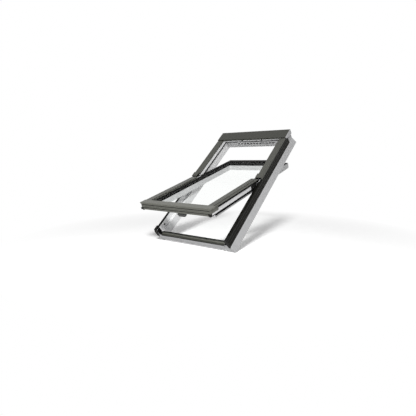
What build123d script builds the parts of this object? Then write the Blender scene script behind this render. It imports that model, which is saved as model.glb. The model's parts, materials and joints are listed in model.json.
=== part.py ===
from build123d import *
import os

# A centre-pivot roof window: plastic frame and sash, folded metal covers, double glazing.
# Lengths are millimetres, angles are degrees. Pieces are drawn flat in window axes:
# x runs across, y runs up the slope from the lower end of the frame, z points outdoors.
# The frame's front face lies at z = 0. The whole window is then laid at the roof's pitch.

# Frame
frame_width = 660.0
frame_height = 1180.0
frame_depth = 110.0
roof_pitch = 40.0
side_flare = 24.0
rebate_wall = 22.0
inner_wall = 42.0
rebate_depth = 46.0
groove_width = 2.0
groove_depth = 1.2
groove_count = 3
head_width = 46.0
sill_width = 36.0
sill_groove_drop = 22.0
sill_nose = 12.0
over = 1.0

# Stops that the upper half of the sash closes against from the room side
stop_reach = 32.0
head_stop_reach = 35.0
stop_seal_width = 6.0
stop_seal_height = 6.0

# Metal tracks on the outer sides
track_depth = 66.0
track_plate = 1.8
track_rib = 1.2
track_rib_count = 3
track_rib_width = 2.0
track_leg = 14.0
track_top_gap = 62.0
cap_thickness = 4.0
cap_reach = 8.0
cap_pad_length = 38.0
cap_block_height = 12.0
cap_block_gap = 1.0
seal_inset = 0.2

# Folded metal covers of the frame
sheet = 1.5
cover_rise = 15.0
cover_fall = 6.0
hood_length = 104.0
hood_rise = 19.0
hood_lip = 8.0
hood_tail = 39.0
hood_overhang = 1.5
hood_cap = 3.0
hood_cap_lip = 3.0
hood_cap_leg = 20.0
hood_cap_nose = 14.0
hood_cap_drop = 2.0
pivot_cover_low = 22.0
pivot_cover_rise = 23.5
pivot_cover_gap = 1.0
sill_cover_width = 30.0
sill_cover_lip = 15.0
sill_ridge_width = 8.0
sill_ridge_height = 2.0
seal_taper = 1.5
front_seal_bulge = 1.0
front_seal_height = 3.0
side_seal_width = 6.0
side_seal_height = 2.6

# Air inlet in the head
grille_length = 390.0
grille_height = 18.0
grille_plate = 2.5
grille_out = -74.0
slot_pitch = 31.0
slot_length = 24.0
slot_height = 6.0
slot_count = 12
pocket_depth = 20.0
duct_height = 8.0
flap_plate = 1.2
flap_pin = 1.0
flap_gap = 0.4

# Sash
pivot_up = 612.0
pivot_out = 12.0
sash_opening = 24.0
swing_gap = 2.0
lip_width = 12.0
lip_seal = 3.6
lip_seal_margin = 4.0
stile_width = 17.0
rebate_step = 10.0
sash_clearance = 6.0
sash_depth = 76.0
lip_drop = 34.0
sill_gap = 7.0
sash_front = 1.0
top_gap = 2.5
stop_gap = 4.5
bottom_rail_width = 52.0
bottom_rail_foot = 58.0
top_rail_width = 60.0
sash_overhang = 28.0

# Glazing unit
pane = 4.0
pane_gap = 16.0
pane_front = -4.0
pane_edge = 2.0
spacer_width = 8.0
spacer_inset = 4.0
glass_seal = 2.0
glass_bed = 6.0

# Folded metal covers and trims of the sash
sash_sheet = 2.0
sash_cover_front = 12.0
sash_cover_overlap = 7.0
side_cover_end = 45.0
overlap_gap = 3.5
closing_gap = 0.4
overlap_seal_width = 14.0
fin_depth = 26.0
fin_thickness = 1.6
side_strip = 1.8
side_strip_depth = 13.0
cover_fold = 3.0
cover_fold_width = 16.0
rib_count = 4
rib_height = 2.2
end_face_drop = 52.0
corner_wrap = 90.0
corner_cap_length = 16.0
corner_cap_height = 14.0
cover_bevel = 4.0
trim_height = 2.0

# Pivot hinges
pin_radius = 5.0
pin_gap = 0.05
hinge_plate = 3.0
hinge_boss = 9.0
hinge_clear = 0.5
hinge_step = 4.0
washer = 4.0
hinge_drop = 62.0
hinge_top = 18.0
screw_radius = 2.0
screw_head = 4.0
screw_length = 14.0
screw_edge = 10.0
sash_screw_length = 9.0

# Handle and latch
handle_x = -48.0
handle_up = 58.0
handle_arm = 76.0
handle_back = 10.0
handle_depth = 18.0
handle_width = 14.0
handle_plate = 4.0
handle_neck = 6.0
handle_taper = 14.0
handle_edge = 3.0
neck_socket = 3.0
neck_end_gap = 0.3
neck_height = 6.0
latch_x = -14.0
latch_width = 34.0
latch_flange = 2.0
latch_cover = 8.0
latch_end = 2.0
bolt_radius = 4.0
bolt_gap = 0.05
bolt_length = 17.0
bolt_travel = 12.0
bolt_drop = 12.0
bolt_play = 1.0
striker_plate = 2.0
striker_length = 60.0
striker_height = 26.0
striker_shift = 5.0

# Small fittings
bush_up = 88.0
bush_out = -25.0
bush_radius = 7.0
bush_bore = 3.5
bush_depth = 8.0
bush_floor = 2.0
clip_spacing = 194.0
clip_width = 12.0
clip_height = 10.0
clip_reach = 3.0

half = frame_width / 2
opening_half = half - inner_wall
rebate_half = half - rebate_wall
stop_half = rebate_half - stop_reach
head_low = frame_height - head_width
head_stop_low = head_low - head_stop_reach
hood_low = frame_height - hood_length
bolt_depth = rebate_depth + bolt_drop
upper_start = pivot_up + hinge_top + 4.0

sash_rear = -sash_depth
sash_step = sash_clearance - rebate_depth
lip_half = opening_half - swing_gap
body_half = lip_half - lip_width
sight_half = body_half - stile_width
glass_half = sight_half + rebate_step - pane_edge
lip_front = -lip_drop
stop_depth = -lip_front - lip_seal - stop_seal_height - closing_gap
sash_wall = sight_half + rebate_step
unit_rear = pane_front - 2 * pane - pane_gap
seat_out = unit_rear - glass_bed
sash_low = sash_sheet - sash_overhang
sash_high = head_low - top_gap
body_low = sill_width + sill_gap
body_high = head_stop_low - stop_gap
sight_low = bottom_rail_width - sash_overhang + sash_sheet
sight_high = body_high - top_rail_width + lip_width
glass_low = sight_low - rebate_step + pane_edge
glass_high = sight_high + rebate_step - pane_edge
foot_up = sash_low + bottom_rail_width + bottom_rail_foot
cover_half = rebate_half + sash_cover_overlap
cover_high = pivot_up - side_cover_end
cover_back = side_seal_height + closing_gap
overlap_half = rebate_half - overlap_gap
pivot_line = Axis((0, pivot_up, pivot_out), (1, 0, 0))

frame_pieces = {}
sash_pieces = {}


def up_slope(points, low, high):
    """A profile drawn across the window as (x, z), run up the slope from low to high."""
    plane = Plane(origin=(0, low, 0), x_dir=(1, 0, 0), z_dir=(0, -1, 0))
    face = plane * make_face(Polyline(*points, close=True))
    return extrude(face, amount=high - low, dir=(0, 1, 0))


def across(points, left, right):
    """A profile drawn up the slope as (y, z), run across the window from left to right."""
    plane = Plane(origin=(left, 0, 0), x_dir=(0, 1, 0), z_dir=(1, 0, 0))
    face = plane * make_face(Polyline(*points, close=True))
    return extrude(face, amount=right - left, dir=(1, 0, 0))


def block(x, y, z):
    """A straight block between two corners, each direction given as (from, to)."""
    size = (x[1] - x[0], y[1] - y[0], z[1] - z[0])
    middle = ((x[0] + x[1]) / 2, (y[0] + y[1]) / 2, (z[0] + z[1]) / 2)
    return Pos(*middle) * Box(*size)


def rod(start, direction, radius, length):
    """A round rod from a starting point along a direction."""
    return extrude(Plane(origin=start, z_dir=direction) * Circle(radius), amount=length)


def ring(outer, inner, back, front):
    """A rectangular ring round the glass; outer and inner are (half width, low, high)."""
    full = block((-outer[0], outer[0]), (outer[1], outer[2]), (back, front))
    hole = block((-inner[0], inner[0]), (inner[1], inner[2]), (back - over, front + over))
    return full - hole


def pair(pieces, name, solid):
    """Keep a right-hand piece and its mirror image on the left."""
    pieces["right_" + name] = solid
    pieces["left_" + name] = mirror(solid, about=Plane.YZ)


def build_jambs():
    """Side members: a rebate open to the outside, and a thicker inner part."""
    outer = half - track_plate - track_rib
    jamb = up_slope([
        (outer, 0), (rebate_half, 0), (rebate_half, -rebate_depth),
        (opening_half, -rebate_depth), (opening_half, -frame_depth),
        (half + side_flare, -frame_depth), (half, -track_depth), (outer, -track_depth),
    ], 0, frame_height)
    step = (frame_depth - track_depth) / (groove_count + 1)
    for index in range(1, groove_count + 1):
        drop = track_depth + index * step
        edge = half + side_flare * (drop - track_depth) / (frame_depth - track_depth)
        jamb -= block(
            (edge - groove_depth, edge + side_flare), (0, frame_height),
            (-drop - groove_width / 2, -drop + groove_width / 2),
        )
    jamb -= rod((rebate_half, bush_up, bush_out), (1, 0, 0), bush_radius, bush_depth)
    for up, out in hinge_screw_places():
        jamb -= rod((rebate_half, up, out), (1, 0, 0), screw_radius, screw_length)
    pair(frame_pieces, "jamb", jamb)


def build_head():
    """Upper member: an outer part between the rebates, an inner part and the sash stop."""
    head = across([
        (head_low, 0), (frame_height, 0),
        (frame_height, -rebate_depth), (head_low, -rebate_depth),
    ], -rebate_half, rebate_half)
    head += across([
        (head_low, -rebate_depth), (frame_height, -rebate_depth),
        (frame_height, -frame_depth), (head_low, -frame_depth),
    ], -opening_half, opening_half)
    head += across([
        (head_stop_low, 0), (head_low, 0), (head_low, -stop_depth), (head_stop_low, -stop_depth),
    ], -rebate_half, rebate_half)
    half_grille = grille_length / 2
    head -= block(
        (-half_grille, half_grille), (head_low, head_low + pocket_depth),
        (grille_out - grille_height / 2, grille_out + grille_height / 2),
    )
    duct_half = half_grille - grille_height
    duct_high = head_low + pocket_depth
    head -= block(
        (-duct_half, duct_half), (duct_high - duct_height, duct_high), (grille_out, 0))
    frame_pieces["head"] = head


def build_sill():
    """Lower member with its metal cover, its seals and the striker hole."""
    sill = across([
        (0, -rebate_depth), (sill_width, -rebate_depth),
        (sill_width, -frame_depth), (sill_nose, -frame_depth), (0, sill_nose - frame_depth),
    ], -opening_half, opening_half)
    sill -= rod((latch_x, sill_width, -bolt_depth), (0, -1, 0), bolt_radius + bolt_play,
                bolt_travel + bolt_play)
    groove_out = -rebate_depth - sill_groove_drop
    sill -= block((-half, half), (-over, groove_depth), (groove_out - groove_width, groove_out))
    frame_pieces["sill"] = sill
    lip_low = -rebate_depth - sill_cover_lip
    frame_pieces["sill_cover"] = across([
        (-sheet, lip_low), (0, lip_low), (0, -rebate_depth), (sill_cover_width, -rebate_depth),
        (sill_cover_width, -rebate_depth + sheet), (-sheet, -rebate_depth + sheet),
    ], -opening_half, opening_half)
    ridge_low = (sill_cover_width - sill_ridge_width) / 2
    frame_pieces["sill_cover"] += block(
        (-opening_half, opening_half), (ridge_low, ridge_low + sill_ridge_width),
        (-rebate_depth + sheet, -rebate_depth + sheet + sill_ridge_height))
    seal_top = sash_step - closing_gap
    frame_pieces["sill_seal"] = across([
        (sill_cover_width, -rebate_depth), (sill_width, -rebate_depth),
        (sill_width - seal_taper, seal_top), (sill_cover_width + seal_taper, seal_top),
    ], -opening_half, opening_half)
    frame_pieces["sill_front_seal"] = block(
        (-opening_half, opening_half), (-sheet - front_seal_bulge, 0),
        (lip_low - front_seal_height, lip_low))


def build_tracks():
    """Ribbed metal tracks over the outer front corner of each side, with end caps."""
    face = half - track_rib
    track_high = frame_height - track_top_gap
    track = up_slope([
        (face, track_plate), (face - track_leg, track_plate), (face - track_leg, 0),
        (face - track_plate, 0), (face - track_plate, -track_depth), (face, -track_depth),
    ], 0, track_high)
    for index in range(track_rib_count):
        drop = track_depth * (index + 0.5) / track_rib_count
        track += block(
            (face - track_rib / 2, half), (0, track_high),
            (-drop - track_rib_width / 2, -drop + track_rib_width / 2),
        )
    pair(frame_pieces, "side_track", track)
    seal_start = rebate_half + seal_inset
    cap = up_slope([
        (half + cap_reach, -cap_reach), (half, track_plate), (seal_start, track_plate),
        (seal_start, -rebate_wall), (half - cap_reach, -track_depth),
        (half, -track_depth), (half + cap_reach, -track_depth + cap_reach),
    ], -cap_thickness, 0)
    cap += block(
        (seal_start, seal_start + side_seal_width), (0, cap_pad_length),
        (0, side_seal_height),
    )
    cap += block(
        (cover_half + cap_block_gap, half - track_rib), (0, cap_pad_length),
        (track_plate, cap_block_height),
    )
    cap += block((cover_half + cap_block_gap, half - track_rib), (-cap_thickness, 0),
                 (0, cap_block_height))
    pair(frame_pieces, "track_cap", cap)
    seal = block(
        (seal_start, seal_start + side_seal_width), (cap_pad_length, cover_high),
        (0, side_seal_height),
    )
    pair(frame_pieces, "side_seal", seal)


def build_stops():
    """Stops of the upper half with the seal that lines their room side."""
    stop = block((stop_half, rebate_half), (upper_start, head_stop_low), (-stop_depth, 0))
    pair(frame_pieces, "side_stop", stop)
    seal_front = -stop_depth
    seal_back = seal_front - stop_seal_height
    seal_half = stop_half + stop_seal_width
    seal_high = head_stop_low + stop_seal_width
    seal = block((-seal_half, seal_half), (upper_start, seal_high), (seal_back, seal_front))
    seal -= block(
        (-stop_half, stop_half), (upper_start - over, head_stop_low),
        (seal_back - over, seal_front + over),
    )
    frame_pieces["stop_seal"] = seal


def build_frame_covers():
    """Folded side covers over the upper stops, and the hood over the head."""
    outside = half - track_rib
    inner = cover_rise - cover_fall
    cover = up_slope([
        (outside, track_plate), (outside, cover_rise), (stop_half, inner), (stop_half, 0),
        (stop_half + sheet, 0), (stop_half + sheet, inner - sheet),
        (outside - sheet, cover_rise - sheet), (outside - sheet, track_plate),
    ], upper_start, hood_low)
    cap_inner = body_half + hinge_plate + pivot_cover_gap
    cover += up_slope([
        (cap_inner, pivot_cover_rise - sheet), (cap_inner, pivot_cover_rise),
        (outside, pivot_cover_rise), (outside, track_plate), (outside - sheet, track_plate),
        (outside - sheet, pivot_cover_rise - sheet),
    ], pivot_up - pivot_cover_low, upper_start)
    cover += block((cap_inner, outside), (upper_start, upper_start + sheet),
                   (inner, pivot_cover_rise))
    pair(frame_pieces, "upper_cover", cover)
    plate_back = hood_rise - sash_sheet
    tail = frame_height + sash_sheet
    hood_half = half + hood_overhang
    hood = across([
        (hood_low, cover_rise), (hood_low, hood_rise), (tail, hood_rise),
        (tail, hood_rise - hood_tail), (frame_height, hood_rise - hood_tail),
        (frame_height, plate_back), (hood_low + sash_sheet, plate_back),
        (hood_low + sash_sheet, cover_rise),
    ], -hood_half, hood_half)
    hood += block(
        (-stop_half, stop_half), (hood_low, hood_low + sash_sheet),
        (cover_rise - hood_lip, plate_back),
    )
    frame_pieces["hood"] = hood
    end = across([
        (hood_low, cover_rise - hood_cap_lip), (hood_low, hood_rise), (tail, hood_rise),
        (tail, hood_rise - hood_tail), (frame_height - hood_cap_leg, hood_rise - hood_tail),
        (hood_low + hood_cap_nose, -hood_cap_drop),
    ], hood_half, hood_half + hood_cap)
    pair(frame_pieces, "hood_cap", end)


def build_air_inlet():
    """Slotted grille in the head's lower face, and the flap that hangs behind it."""
    low_z = grille_out - grille_height / 2
    high_z = grille_out + grille_height / 2
    half_grille = grille_length / 2
    grille = block(
        (-half_grille, half_grille), (head_low, head_low + grille_plate), (low_z, high_z))
    for index in range(slot_count):
        x = (index - (slot_count - 1) / 2) * slot_pitch
        grille -= block(
            (x - slot_length / 2, x + slot_length / 2),
            (head_low - over, head_low + grille_plate + over),
            (grille_out - slot_height / 2, grille_out + slot_height / 2),
        )
    frame_pieces["air_grille"] = grille
    flap_half = half_grille - flap_gap
    pin_up = head_low + grille_plate + flap_gap + flap_pin
    pin_out = high_z - flap_gap - flap_pin
    flap = rod((-flap_half, pin_up, pin_out), (1, 0, 0), flap_pin, 2 * flap_half)
    flap += block(
        (-flap_half, flap_half), (pin_up - flap_plate / 2, pin_up + flap_plate / 2),
        (low_z + 2 * flap_gap, pin_out),
    )
    frame_pieces["air_flap"] = flap


def hinge_screw_places():
    """Screw centres in the frame's hinge plate as (y, z)."""
    return [
        (pivot_up - hinge_drop + screw_edge, -rebate_depth / 4),
        (pivot_up - hinge_drop + screw_edge, -rebate_depth * 3 / 4),
        (pivot_up + hinge_top - screw_edge, -rebate_depth * 3 / 4),
    ]


def sash_screw_places():
    """Screw centres in the sash's hinge plate as (y, z)."""
    return [
        (pivot_up - hinge_drop + screw_edge, -rebate_depth / 4),
        (pivot_up - hinge_drop / 3, -rebate_depth / 2),
    ]


def screw_solid(x, up, out, direction, length):
    """A flat-headed screw whose head lies flush at x."""
    head = rod((x, up, out), (direction, 0, 0), screw_head, hinge_plate / 2)
    shank = rod((x, up, out), (direction, 0, 0), screw_radius, length)
    return head + shank


def build_hinges():
    """Pivot hinges: a frame plate with a pin, and a sash plate with a bored boss."""
    plate_face = rebate_half - hinge_plate
    outline = [
        (pivot_up - hinge_drop, -rebate_depth), (pivot_up + hinge_top, -rebate_depth),
        (pivot_up + hinge_top, -hinge_step), (pivot_up + hinge_boss, pivot_out),
        (pivot_up - hinge_boss, pivot_out), (pivot_up - hinge_drop * 2 / 3, -hinge_clear),
        (pivot_up - hinge_drop, -hinge_clear),
    ]
    frame_plate = across(outline, plate_face, rebate_half)
    frame_plate += rod((plate_face, pivot_up, pivot_out), (1, 0, 0), hinge_boss, hinge_plate)
    pin_end = body_half + 2 * hinge_plate
    frame_plate += rod(
        (pin_end, pivot_up, pivot_out), (1, 0, 0), pin_radius, plate_face - pin_end)
    frame_screws = None
    for up, out in hinge_screw_places():
        screw = screw_solid(plate_face, up, out, 1, screw_length)
        frame_plate -= screw
        frame_screws = screw if frame_screws is None else frame_screws + screw
    pair(frame_pieces, "frame_hinge", frame_plate)
    frame_pieces["frame_hinge_screws"] = frame_screws + mirror(frame_screws, about=Plane.YZ)

    sash_outline = [
        (pivot_up - hinge_drop, lip_front), (pivot_up + hinge_top, lip_front),
        (pivot_up + hinge_top, -2 * hinge_step), (pivot_up + hinge_boss, pivot_out),
        (pivot_up - hinge_boss, pivot_out), (pivot_up - hinge_drop * 2 / 3, sash_front),
        (pivot_up - hinge_drop, sash_front),
    ]
    sash_plate = across(sash_outline, body_half, body_half + hinge_plate)
    boss_end = plate_face - hinge_clear - washer
    sash_plate += rod(
        (body_half, pivot_up, pivot_out), (1, 0, 0), hinge_boss, boss_end - body_half)
    sash_plate -= rod(
        (pin_end - hinge_clear, pivot_up, pivot_out), (1, 0, 0), pin_radius + pin_gap,
        boss_end - pin_end + 2 * hinge_clear)
    sash_screws = None
    for up, out in sash_screw_places():
        screw = screw_solid(body_half + hinge_plate, up, out, -1, sash_screw_length)
        sash_plate -= screw
        sash_screws = screw if sash_screws is None else sash_screws + screw
    pair(sash_pieces, "sash_hinge", sash_plate)
    sash_pieces["sash_hinge_screws"] = sash_screws + mirror(sash_screws, about=Plane.YZ)
    disc = rod((boss_end + hinge_clear, pivot_up, pivot_out), (1, 0, 0),
               hinge_boss - hinge_clear, washer)
    disc -= rod((boss_end, pivot_up, pivot_out), (1, 0, 0), pin_radius + pin_gap, 2 * washer)
    frame_pieces["pivot_washers"] = disc + mirror(disc, about=Plane.YZ)


def build_sash_members():
    """Stiles and rails: a rear lip that carries a seal, and a rebate for the glass."""
    cut_front = sash_front + over
    stile = up_slope([
        (sight_half, sash_rear), (lip_half, sash_rear), (lip_half, lip_front),
        (body_half, lip_front), (body_half, sash_front), (sash_wall, sash_front),
        (sash_wall, seat_out), (sight_half, seat_out),
    ], sash_low, sash_high)
    upper_cut = block(
        (0, lip_half), (body_high, sash_high + over), (lip_front, cut_front))
    stile -= upper_cut
    stile -= block(
        (0, lip_half + over), (sash_low - over, body_low), (sash_rear - over, sash_step))
    for up, out in sash_screw_places():
        stile -= rod(
            (body_half, up, out), (-1, 0, 0), screw_radius, sash_screw_length - hinge_plate)
    left_stile = mirror(stile, about=Plane.YZ)
    bottom = across([
        (sash_low, sash_step), (body_low, sash_step), (body_low, sash_rear),
        (foot_up, sash_rear), (foot_up, seat_out),
        (sight_low - rebate_step, seat_out), (sight_low - rebate_step, sash_front),
        (sash_low, sash_front),
    ], -lip_half, lip_half)
    edge = block(
        (body_half, lip_half + over), (sash_low - over, foot_up + over), (lip_front, cut_front))
    bottom -= edge
    bottom -= mirror(edge, about=Plane.YZ)
    top = across([
        (sight_high, sash_rear), (sash_high, sash_rear), (sash_high, lip_front),
        (body_high, lip_front), (body_high, sash_front),
        (sight_high + rebate_step, sash_front), (sight_high + rebate_step, seat_out),
        (sight_high, seat_out),
    ], -lip_half, lip_half)
    edge = block(
        (body_half, lip_half + over), (sight_high - over, body_high), (lip_front, cut_front))
    top -= edge
    top -= mirror(edge, about=Plane.YZ)
    sash_pieces["right_stile"] = stile
    sash_pieces["left_stile"] = left_stile
    sash_pieces["bottom_rail"] = bottom - stile - left_stile
    sash_pieces["top_rail"] = top - stile - left_stile
    seal_edge = lip_half - lip_seal_margin
    seal = block((overlap_half - overlap_seal_width, overlap_half),
                 (sash_low, pivot_up - hinge_drop),
                 (closing_gap - rebate_depth, sash_step))
    seal += block((lip_half, overlap_half), (body_low, pivot_up - hinge_drop),
                  (sash_step - fin_thickness, sash_step))
    seal += block((lip_half, lip_half + fin_thickness), (body_low, pivot_up - hinge_drop),
                  (sash_step - fin_depth, sash_step))
    pair(sash_pieces, "lower_seal", seal)
    seal = ring((seal_edge, upper_start, sash_high - lip_seal_margin),
                (body_half, upper_start - over, body_high), lip_front, lip_front + lip_seal)
    sash_pieces["upper_seal"] = seal


def build_glazing():
    """Two panes on a spacer, bedded between an inner and an outer seal."""
    edge = (glass_half, glass_low, glass_high)
    sight = (sight_half, sight_low, sight_high)
    front_back = pane_front - pane
    rear_front = front_back - pane_gap
    sash_pieces["outer_pane"] = block(
        (-glass_half, glass_half), (glass_low, glass_high), (front_back, pane_front))
    sash_pieces["inner_pane"] = block(
        (-glass_half, glass_half), (glass_low, glass_high), (unit_rear, rear_front))
    out_edge = (glass_half - spacer_inset, glass_low + spacer_inset, glass_high - spacer_inset)
    in_edge = (
        out_edge[0] - spacer_width, out_edge[1] + spacer_width, out_edge[2] - spacer_width)
    sash_pieces["pane_spacer"] = ring(out_edge, in_edge, rear_front, front_back)
    sash_pieces["inner_glass_seal"] = ring(edge, sight, seat_out, unit_rear)
    sash_pieces["outer_glass_seal"] = ring(edge, sight, pane_front, pane_front + glass_seal)


def build_sash_covers():
    """Wide covers of the lower half, the ribbed bottom cover and the upper trims."""
    back = sash_cover_front - sash_sheet
    bead = pane_front + glass_seal
    overlap_high = pivot_up - hinge_drop
    overlap = up_slope([
        (body_half, sash_front), (overlap_half, sash_front), (overlap_half, sash_step),
        (lip_half, sash_step), (lip_half, lip_front), (body_half, lip_front),
    ], sash_low, overlap_high)
    pair(sash_pieces, "overlap_profile", overlap)
    strip = block((overlap_half, overlap_half + side_strip),
                  (corner_wrap - sash_overhang, overlap_high), (-side_strip_depth, sash_front))
    sash_pieces["side_strips"] = strip + mirror(strip, about=Plane.YZ)
    fold_half = cover_half - cover_fold_width
    fold_front = sash_cover_front - cover_fold
    cover = up_slope([
        (sight_half, bead), (sight_half, sash_cover_front), (fold_half, sash_cover_front),
        (fold_half, fold_front), (cover_half, fold_front),
        (cover_half, cover_back), (cover_half - sash_sheet, cover_back),
        (cover_half - sash_sheet, fold_front - sash_sheet),
        (fold_half - sash_sheet, fold_front - sash_sheet), (fold_half - sash_sheet, back),
        (body_half + sash_sheet, back),
        (body_half + sash_sheet, sash_front), (body_half, sash_front), (body_half, back),
        (sight_half + sash_sheet, back), (sight_half + sash_sheet, bead),
    ], sight_low, cover_high)
    pair(sash_pieces, "side_cover", cover)
    low = -sash_overhang
    face_back = sash_cover_front - end_face_drop
    bottom = across([
        (low, face_back), (low, sash_cover_front - cover_bevel),
        (low + cover_bevel, sash_cover_front), (sight_low, sash_cover_front), (sight_low, back),
        (sash_low + cover_bevel, back), (sash_low, back - cover_bevel), (sash_low, face_back),
    ], -overlap_half, overlap_half)
    bottom += block(
        (-sight_half, sight_half), (sight_low - sash_sheet, sight_low), (bead, back))
    step = end_face_drop / (rib_count + 1)
    for index in range(1, rib_count + 1):
        level = sash_cover_front - index * step
        bottom += block(
            (-overlap_half, overlap_half), (low - rib_height, low + sash_sheet / 2),
            (level - rib_height, level + rib_height),
        )
    wing = block((overlap_half, cover_half), (low, sight_low), (cover_back, sash_cover_front))
    bottom += wing + mirror(wing, about=Plane.YZ)
    sash_pieces["bottom_cover"] = bottom
    side = (overlap_half, overlap_half + sash_sheet)
    cap_front = face_back + corner_cap_height
    cap = block(side, (low, low + corner_cap_length), (face_back, cap_front))
    pair(sash_pieces, "corner_cap", cap)
    wrap = block(side, (low, low + corner_wrap), (cap_front, cover_back))
    pair(sash_pieces, "corner_wrap", wrap)
    trim = block((sash_wall, body_half), (upper_start, body_high),
                 (sash_front, sash_front + trim_height))
    trim += up_slope([
        (sight_half, bead), (sash_wall, bead),
        (sash_wall, sash_front + trim_height),
    ], upper_start, sight_high)
    trim += mirror(trim, about=Plane.YZ)
    top_inner = sash_wall
    trim += block((-top_inner, top_inner), (sight_high + rebate_step, body_high),
                  (sash_front, sash_front + trim_height))
    trim += across([
        (sight_high, bead), (sight_high + rebate_step, bead),
        (sight_high + rebate_step, sash_front + trim_height),
    ], -sight_half, sight_half)
    sash_pieces["upper_trim"] = trim


def build_handle():
    """Lever handle on the bottom rail; it turns on a neck that stands off its plate."""
    plate_back = sash_rear - handle_plate
    reach = handle_width / 2
    neck_end = plate_back - neck_height
    base = block(
        (handle_x - 2 * reach, handle_x + 2 * reach), (handle_up - reach, handle_up + reach),
        (plate_back, sash_rear))
    base -= rod(
        (handle_x, handle_up, plate_back), (0, 0, 1), handle_neck + pin_gap, neck_socket)
    neck = rod((handle_x, handle_up, neck_end), (0, 0, 1), handle_neck,
               neck_height + neck_socket - neck_end_gap)
    plane = Plane(origin=(0, handle_up - reach, 0), x_dir=(1, 0, 0), z_dir=(0, -1, 0))
    profile = plane * make_face(Polyline(
        (handle_x - handle_back, neck_end), (handle_x + handle_arm, neck_end),
        (handle_x + handle_arm - handle_taper, neck_end - handle_depth),
        (handle_x + handle_back, neck_end - handle_depth), close=True))
    lever = extrude(profile, amount=handle_width, dir=(0, 1, 0))
    lever = fillet(lever.edges().filter_by(Axis.Y), handle_edge)
    return base, lever + neck


def build_latch():
    """Latch housing on the bottom rail, its sliding bolt and the striker on the sill."""
    low = body_low
    high = foot_up - latch_end
    x = (latch_x - latch_width / 2, latch_x + latch_width / 2)
    housing = block(x, (low, high), (sash_rear - latch_flange, latch_cover - bolt_depth))
    sash_pieces["bottom_rail"] -= housing
    housing -= rod(
        (latch_x, low, -bolt_depth), (0, 1, 0), bolt_radius + bolt_gap,
        bolt_length + 2 * bolt_play)
    bolt = rod((latch_x, low + bolt_play, -bolt_depth), (0, 1, 0), bolt_radius, bolt_length)
    striker = block(
        (latch_x - striker_length / 2, latch_x + striker_length / 2),
        (sill_width, sill_width + striker_plate),
        (-bolt_depth - striker_height / 2, -bolt_depth + striker_height / 2 - striker_shift))
    striker -= rod((latch_x, sill_width - bolt_play, -bolt_depth), (0, 1, 0),
                   bolt_radius + bolt_play, striker_plate + 2 * bolt_play)
    frame_pieces["striker_plate"] = striker
    return housing, bolt


def build_small_fittings():
    """Bushes in the jambs and the two clips under the hood."""
    bush = rod((rebate_half, bush_up, bush_out), (1, 0, 0), bush_radius, bush_depth)
    bush -= rod((rebate_half, bush_up, bush_out), (1, 0, 0), bush_bore, bush_depth - bush_floor)
    frame_pieces["side_bushes"] = bush + mirror(bush, about=Plane.YZ)
    clips = None
    for side in (-1, 1):
        x = side * clip_spacing / 2
        clip = block(
            (x - clip_width / 2, x + clip_width / 2),
            (head_stop_low - clip_reach, head_stop_low),
            (-stop_depth / 2 - clip_height / 2, -stop_depth / 2 + clip_height / 2))
        clips = clip if clips is None else clips + clip
    frame_pieces["head_clips"] = clips


def place(solid):
    """Lay a frame piece at the roof's pitch, with the middle of the sill's room face at zero."""
    return Rotation(roof_pitch, 0, 0) * Pos(0, -sill_width / 2, frame_depth) * solid


def swing(solid):
    """Turn a sash piece about the pivot line: its lower end moves outdoors."""
    return solid.rotate(pivot_line, -sash_opening)


def build_all():
    """Every piece in its place, by name."""
    build_jambs()
    build_head()
    build_sill()
    build_tracks()
    build_stops()
    build_frame_covers()
    build_air_inlet()
    build_hinges()
    build_sash_members()
    build_glazing()
    build_sash_covers()
    base, lever = build_handle()
    housing, bolt = build_latch()
    build_small_fittings()
    sash_pieces["handle_plate"] = base
    sash_pieces["handle_lever"] = lever
    sash_pieces["latch_housing"] = housing
    sash_pieces["latch_bolt"] = bolt
    placed = {}
    for name, solid in frame_pieces.items():
        placed[name] = place(solid)
    for name, solid in sash_pieces.items():
        placed[name] = place(swing(solid))
    return placed


def write_parts():
    os.makedirs("parts", exist_ok=True)
    for name, solid in build_all().items():
        export_step(solid, "parts/" + name + ".step")


write_parts()
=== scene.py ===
# %% [markdown]
# A centre-pivot roof window, dressed for its picture.
# The window's construction comes ready made: every profile, cover, hinge and pane
# is already at its real size and place. This lesson gives those pieces their finish,
# adds the small repeated things that a drawing leaves out, and lights the result.
# We load the construction first, and keep its outer size.

# %% Load the construction
import json
import math

import bmesh
import bpy
from mathutils import Matrix, Vector


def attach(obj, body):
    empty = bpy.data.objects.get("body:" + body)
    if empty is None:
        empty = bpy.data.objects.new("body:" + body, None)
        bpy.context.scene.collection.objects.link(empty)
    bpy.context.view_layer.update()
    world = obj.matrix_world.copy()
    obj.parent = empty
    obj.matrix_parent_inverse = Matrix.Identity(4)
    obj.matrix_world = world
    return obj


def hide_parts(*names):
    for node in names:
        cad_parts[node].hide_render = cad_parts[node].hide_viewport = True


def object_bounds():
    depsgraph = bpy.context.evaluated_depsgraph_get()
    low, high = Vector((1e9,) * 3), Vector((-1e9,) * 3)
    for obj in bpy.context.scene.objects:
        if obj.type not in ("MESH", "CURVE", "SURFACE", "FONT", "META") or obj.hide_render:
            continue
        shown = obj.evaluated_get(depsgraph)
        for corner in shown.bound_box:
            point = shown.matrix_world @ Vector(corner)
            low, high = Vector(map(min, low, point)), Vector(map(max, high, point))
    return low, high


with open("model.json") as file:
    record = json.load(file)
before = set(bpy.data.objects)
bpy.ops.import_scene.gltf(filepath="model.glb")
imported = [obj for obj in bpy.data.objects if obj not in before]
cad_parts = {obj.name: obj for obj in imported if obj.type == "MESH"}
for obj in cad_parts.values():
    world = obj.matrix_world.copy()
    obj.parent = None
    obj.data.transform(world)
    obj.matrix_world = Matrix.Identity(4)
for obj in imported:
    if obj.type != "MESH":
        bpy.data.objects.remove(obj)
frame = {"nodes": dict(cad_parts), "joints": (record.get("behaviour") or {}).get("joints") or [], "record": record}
nodes = frame["nodes"]
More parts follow.
